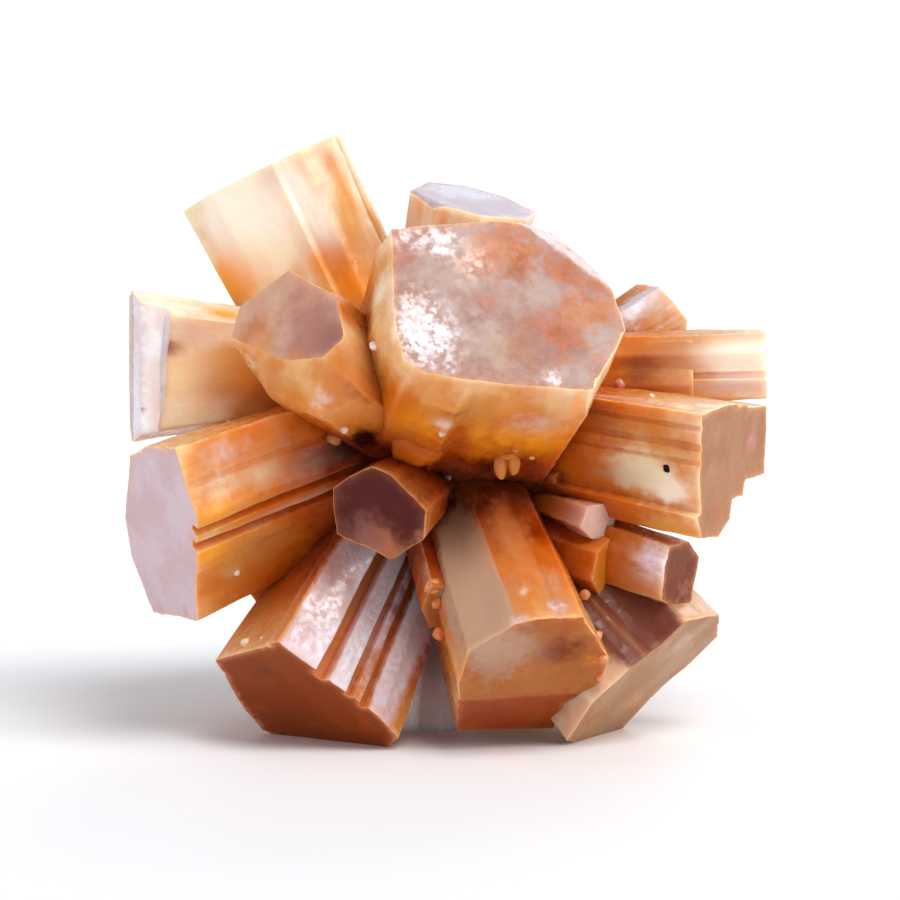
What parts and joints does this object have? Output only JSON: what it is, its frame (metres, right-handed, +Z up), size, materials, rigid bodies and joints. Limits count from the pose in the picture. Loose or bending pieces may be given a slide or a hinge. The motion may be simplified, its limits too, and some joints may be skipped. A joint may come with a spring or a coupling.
{
  "type": "aragonite sputnik cluster",
  "caption": "Spiky ball of thick orange-brown aragonite prisms radiating from a common centre, each with a flat end face, resting on the blunt ends of its lowest crystals.",
  "frame": {"origin": "middle of the specimen's footprint, on the surface that it rests on", "axes": "+Z up, -Y towards the viewer, +X to the viewer's right, along the specimen's widest extent"},
  "size_m": [0.0618, 0.0578, 0.0568],
  "materials": {
    "aragonite": "waxy, translucent orange-brown crystal, paler at the ends, with silky striped sides and dull flat end faces"
  },
  "bodies": {
    "root": {"crystal_cluster": "aragonite"}
  },
  "joints": []
}
